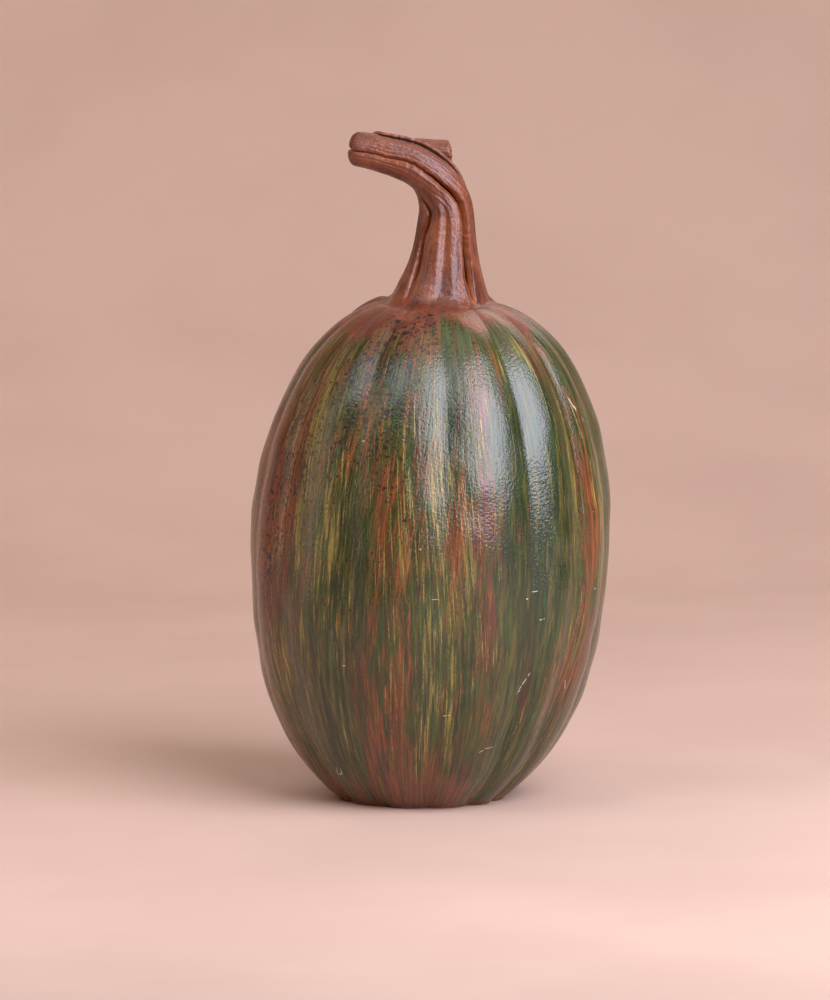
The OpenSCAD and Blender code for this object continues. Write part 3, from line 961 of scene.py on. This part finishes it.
def paint_material():
    sh = Shader("painted_varnished_clay")
    place = sh.place()
    flow_a, flow_b, flow_c = (sh.vector(name) for name in FLOWS)
    green, yellow, orange, crimson, clay, specks = (sh.value(name) for name in PAINTS + ["clay", "specks"])
    clay_parts = clay_colour(sh)
    clay_base = clay_parts[0]
    grain = sh.brushed(flow_a, (150, 900), 2, 0.6)

    # the under-paint, brown to rust, then green over most of it
    tone = sh.brushed(flow_a, (26, 50), 4, 0.65, offset=(3, 0, 0))
    colour = sh.blend(sh.step(tone, 0.42, 0.64), BROWN, RUST)
    cover, hairs_green = strokes(sh, flow_a, 5, green, grain, (0.42, 0.53))
    shade = sh.brushed(flow_b, (34, 46), 4, 0.7, offset=(9, 0, 0))
    shade = sh.times(green, -0.45, shade)
    leaf = sh.blend(sh.step(shade, 0.36, 0.62), DARK_GREEN, LEAF_GREEN)
    olive = sh.brushed(flow_c, (30, 40), 4, 0.7, offset=(1, 4, 0))
    leaf = sh.blend(sh.step(olive, 0.50, 0.64), leaf, OLIVE)
    bright = sh.brushed(flow_b, (44, 36), 3, 0.65, offset=(4, 0, 2))
    leaf = sh.blend(sh.times(sh.step(bright, 0.62, 0.72), 0.8), leaf, EMERALD)
    colour = sh.blend(sh.times(cover, 0.92), colour, leaf)
    # dry-brushed strokes on top, each one over the last
    dry_red, _ = strokes(sh, flow_b, 23, crimson, grain, (0.56, 0.64))
    colour = sh.blend(sh.times(dry_red, 0.8), colour, CRIMSON)
    dry_orange, hairs_orange = strokes(sh, flow_c, 13, orange, grain, (0.545, 0.615))
    warm = sh.blend(sh.step(hairs_orange, 0.42, 0.64), RUST, ORANGE)
    colour = sh.blend(sh.times(dry_orange, 0.82), colour, warm)
    dry_yellow, hairs_yellow = strokes(sh, flow_b, 31, yellow, grain, (0.54, 0.62), (10, 30), (70, 40), 0.28)
    straw = sh.blend(sh.step(hairs_yellow, 0.46, 0.68), STRAW, OCHRE)
    colour = sh.blend(sh.times(dry_yellow, 0.76), colour, straw)
    late_green, _ = strokes(sh, flow_c, 47, green, grain, (0.53, 0.60), (12, 40), (80, 80), 0.3)
    colour = sh.blend(sh.times(late_green, 0.8), colour, leaf)
    bristle = sh.brushed(flow_a, (120, 90), 3, 0.7, offset=(6, 1, 0))
    colour = sh.blend(1.0, colour, sh.step(bristle, 0.30, 0.70, 0.54, 1.02), "MULTIPLY")
    # the bare clay round the stem and under the foot, with a ragged edge
    drag = sh.brushed(flow_a, (34, 60), 4, 0.65, offset=(0, 0, 7))
    ragged = sh.times(drag, 2.6, clay)
    bare = sh.step(ragged, 1.55, 1.95)
    fleck = sh.noise(place, 330, 4, 0.7)
    scrub = sh.blend(sh.times(sh.step(fleck, 0.56, 0.63), 0.75), clay_base, leaf)
    ground = sh.blend(sh.step(clay, 1.2, 2.0), scrub, clay_base)
    colour = sh.blend(bare, colour, ground)
    # dark spots, large and small, with uneven edges
    blot = sh.times(sh.noise(place, 700, 3, 0.6), 0.5, -0.25)
    near, pick = sh.cells(place, 270)
    size = sh.times(sh.times(sh.math("POWER", pick, 2.0), 0.52), specks)
    big = sh.step(sh.math("SUBTRACT", sh.math("ADD", near, blot), size), 0.05, -0.06)
    near_small, pick_small = sh.cells(place, 620)
    size_small = sh.times(sh.times(specks, 0.70), pick_small)
    small = sh.step(sh.math("SUBTRACT", sh.math("ADD", near_small, blot), size_small), 0.05, -0.08)
    spots = sh.math("MAXIMUM", big, sh.times(small, 0.8))
    colour = sh.blend(sh.times(spots, 0.86), colour, SPECK)
    # a few pale chips and scratches in the varnish
    chip_at, chip_pick = sh.cells(sh.scaled(place, (1.0, 1.0, 2.0)), 80)
    chip = sh.times(sh.step(chip_at, 0.06, 0.03), sh.step(chip_pick, 0.64, 0.7))
    chip = sh.times(chip, sh.step(sh.noise(place, 1500, 1, 0.5), 0.45, 0.55))
    colour = sh.blend(sh.times(chip, 0.85), colour, CHIP)
    line = sh.noise(sh.scaled(place, (1.0, 1.0, 0.6)), 60, 2, 0.5, 0.6)
    line = sh.step(sh.math("ABSOLUTE", sh.math("SUBTRACT", line, 0.5)), 0.006, 0.0025)
    scratch = sh.times(line, sh.step(sh.noise(place, 55, 1, 0.5), 0.70, 0.73))
    scratch = sh.times(scratch, sh.step(clay, 0.5, 0.0))
    colour = sh.blend(sh.times(scratch, 0.7), colour, CHIP)
    colour = sh.blend(sh.times(scratch_marks(sh, place), 0.7), colour, CHIP)
    sh.surface("Base Color", colour)

    as_clay = sh.step(clay, 1.2, 2.2)
    clay_rough, clay_normal = clay_finish(sh, clay_parts)
    rough = sh.times(sh.noise(place, 300, 3, 0.6), 0.25, 0.36)
    rough = sh.times(chip, 0.3, rough)
    sh.surface("Roughness", sh.blend(as_clay, rough, clay_rough))
    sh.surface("Specular IOR Level", sh.step(clay, 1.2, 2.2, PAINT_SPECULAR, CLAY_SPECULAR))
    sh.surface("Coat Weight", sh.step(clay, 0.6, 2.2, PAINT_VARNISH, CLAY_VARNISH))
    sh.surface("Coat IOR", VARNISH_IOR)
    varnish_rough = sh.step(clay, 0.6, 2.2, PAINT_VARNISH_ROUGH, CLAY_VARNISH_ROUGH)
    sh.surface("Coat Roughness", varnish_rough)
    ridges = sh.math("ADD", hairs_green, sh.times(dry_yellow, 0.4))
    normal = sh.bump(ridges, 0.25, 0.0005)
    peel = sh.noise(place, 1000, 2, 0.55)
    normal = sh.bump(peel, 0.6, 0.0003, normal)
    normal = sh.blend(as_clay, normal, clay_normal)
    sh.surface("Normal", normal)
    sh.surface("Coat Normal", normal)
    return sh.material


def inner_clay_material():
    sh = Shader("bare_fired_clay")
    place = sh.place()
    grain = sh.noise(place, 420, 4, 0.6)
    colour = sh.blend(sh.step(sh.noise(place, 60, 3, 0.5), 0.35, 0.65), TERRACOTTA, PALE_CLAY)
    colour = sh.blend(sh.times(sh.step(grain, 0.55, 0.75), 0.5), colour, DEEP_CLAY)
    sh.surface("Base Color", colour)
    sh.surface("Roughness", 0.85)
    sh.surface("Normal", sh.bump(grain, 0.4, 0.0004))
    return sh.material


# ---- The studio ----


# Lengths here are in metres, angles in degrees and powers in watts
BACKDROP = (0.60, 0.44, 0.37, 1)
FLOOR_PALE, FLOOR_PALER = (0.52, 0.355, 0.28), (0.55, 0.38, 0.30)
WORLD_COLOUR, WORLD_STRENGTH = (0.88, 0.50, 0.34, 1), 0.15
LIGHT_TARGET = Vector((0, 0, 0.11))


def make_stage():
    """A wide pale floor that curves up into a pale wall behind."""
    mesh = bpy.data.meshes.new("studio_floor")
    half, near, wall_at, bend_r, high = 9.0, -9.0, 1.3, 0.8, 3.2
    turn = np.radians(np.linspace(0, 90, 25))[1:]
    path = [(near, 0.0), (wall_at - bend_r, 0.0)]
    path += [(wall_at - bend_r + bend_r * math.sin(t), bend_r - bend_r * math.cos(t)) for t in turn]
    path.append((wall_at, high))
    verts = [(x, y, z) for y, z in path for x in (-half, half)]
    faces = [(2 * i, 2 * i + 1, 2 * i + 3, 2 * i + 2) for i in range(len(path) - 1)]
    mesh.from_pydata(verts, [], faces)
    mesh.polygons.foreach_set("use_smooth", [True] * len(mesh.polygons))
    sh = Shader("pale_floor")
    cloth = sh.noise(sh.place(), 9, 3, 0.5)
    colour = sh.blend(sh.step(cloth, 0.35, 0.65), FLOOR_PALE, FLOOR_PALER)
    # the floor is less pale under and beyond the key light, where it would burn out
    spot = sh.node("SeparateXYZ")
    sh.feed(spot.inputs[0], sh.place())
    colour = sh.blend(sh.step(spot.outputs["Y"], -0.7, -0.2, 0.62, 0.0), colour, (0.0, 0.0, 0.0))
    sh.surface("Base Color", colour)
    sh.surface("Roughness", 0.8)
    # far from the lights it glows as pale as the backdrop, for the camera only
    aside, forward = sh.math("ABSOLUTE", spot.outputs["X"]), sh.times(spot.outputs["Y"], -1.0)
    away = sh.math("MAXIMUM", aside, forward)
    seen = sh.node("LightPath").outputs["Is Camera Ray"]
    sh.surface("Emission Color", BACKDROP)
    sh.surface("Emission Strength", sh.times(sh.step(away, 0.8, 2.6), seen))
    mesh.materials.append(sh.material)
    floor = add_object("studio_floor", mesh)


def soft_light(name, azimuth, elevation, distance, size, watts, colour, glossy=True):
    """A rectangular soft light that faces the middle of the figure."""
    a, e = math.radians(azimuth), math.radians(elevation)
    way = Vector((math.sin(a) * math.cos(e), -math.cos(a) * math.cos(e), math.sin(e)))
    place = LIGHT_TARGET + distance * way
    light = bpy.data.lights.new(name, "AREA")
    light.shape, light.size, light.size_y = "RECTANGLE", *size
    light.energy, light.color = watts, colour
    lamp = add_object(name, light)
    lamp.location = place
    lamp.visible_camera = False
    lamp.visible_glossy = glossy
    lamp.rotation_euler = (LIGHT_TARGET - place).to_track_quat("-Z", "Y").to_euler()


def make_lights():
    soft_light("key_right", 42, 32, 1.0, (0.98, 1.05), 26, (0.84, 0.86, 1.0))
    soft_light("strip_left", -80, 16, 1.1, (0.5, 1.0), 3.2, (1.0, 0.74, 0.58))
    soft_light("window_left", -44, 52, 1.2, (0.5, 0.5), 3.0, (0.78, 0.88, 1.0))
    soft_light("top", 10, 80, 1.3, (1.0, 1.0), 3, (1.0, 0.92, 0.84))
    soft_light("rear", 160, 40, 1.5, (0.9, 0.9), 4, (1.0, 0.97, 0.95))
    soft_light("rear_fill", 200, 22, 1.6, (1.4, 1.2), 20, (1.0, 0.90, 0.82), glossy=False)
    world = bpy.data.worlds.new("studio")
    bpy.context.scene.world = world
    world.use_nodes = True
    tree = world.node_tree
    lighting = tree.nodes["Background"]
    lighting.inputs["Color"].default_value = WORLD_COLOUR
    lighting.inputs["Strength"].default_value = WORLD_STRENGTH
    seen = tree.nodes.new("ShaderNodeBackground")
    seen.inputs["Color"].default_value = BACKDROP
    path = tree.nodes.new("ShaderNodeLightPath")
    mixer = tree.nodes.new("ShaderNodeMixShader")
    tree.links.new(path.outputs["Is Camera Ray"], mixer.inputs[0])
    tree.links.new(lighting.outputs[0], mixer.inputs[1])
    tree.links.new(seen.outputs[0], mixer.inputs[2])
    tree.links.new(mixer.outputs[0], tree.nodes["World Output"].inputs["Surface"])


CAMERA_DISTANCE = 2.4
CAMERA_HEIGHT = 0.40
CAMERA_AIM = Vector((-0.0021, 0, 0.106))
FRAME_HEIGHT = 0.355  # height of the view at the figure


def make_camera():
    data = bpy.data.cameras.new("camera")
    camera = add_object("camera", data)
    camera.location = (CAMERA_AIM.x, -CAMERA_DISTANCE, CAMERA_HEIGHT)
    toward = CAMERA_AIM - camera.location
    camera.rotation_euler = toward.to_track_quat("-Z", "Y").to_euler()
    data.sensor_fit = "VERTICAL"
    data.sensor_height = 24
    data.lens = data.sensor_height * toward.length / FRAME_HEIGHT
    data.clip_start, data.clip_end = 0.1, 20
    bpy.context.scene.camera = camera


# ---- Everything together ----

make_camera()
make_lights()
make_stage()
paint = paint_material()
clay_skin = clay_material()
make_lower(paint)
make_upper(paint)
make_collar(paint)
for roll in range(5):
    make_roll(roll, clay_skin)
make_stub(clay_skin)
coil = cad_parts["seam_coil"]
coil.data.materials.clear()
coil.data.materials.append(inner_clay_material())
bpy.context.scene.view_settings.view_transform = "Standard"
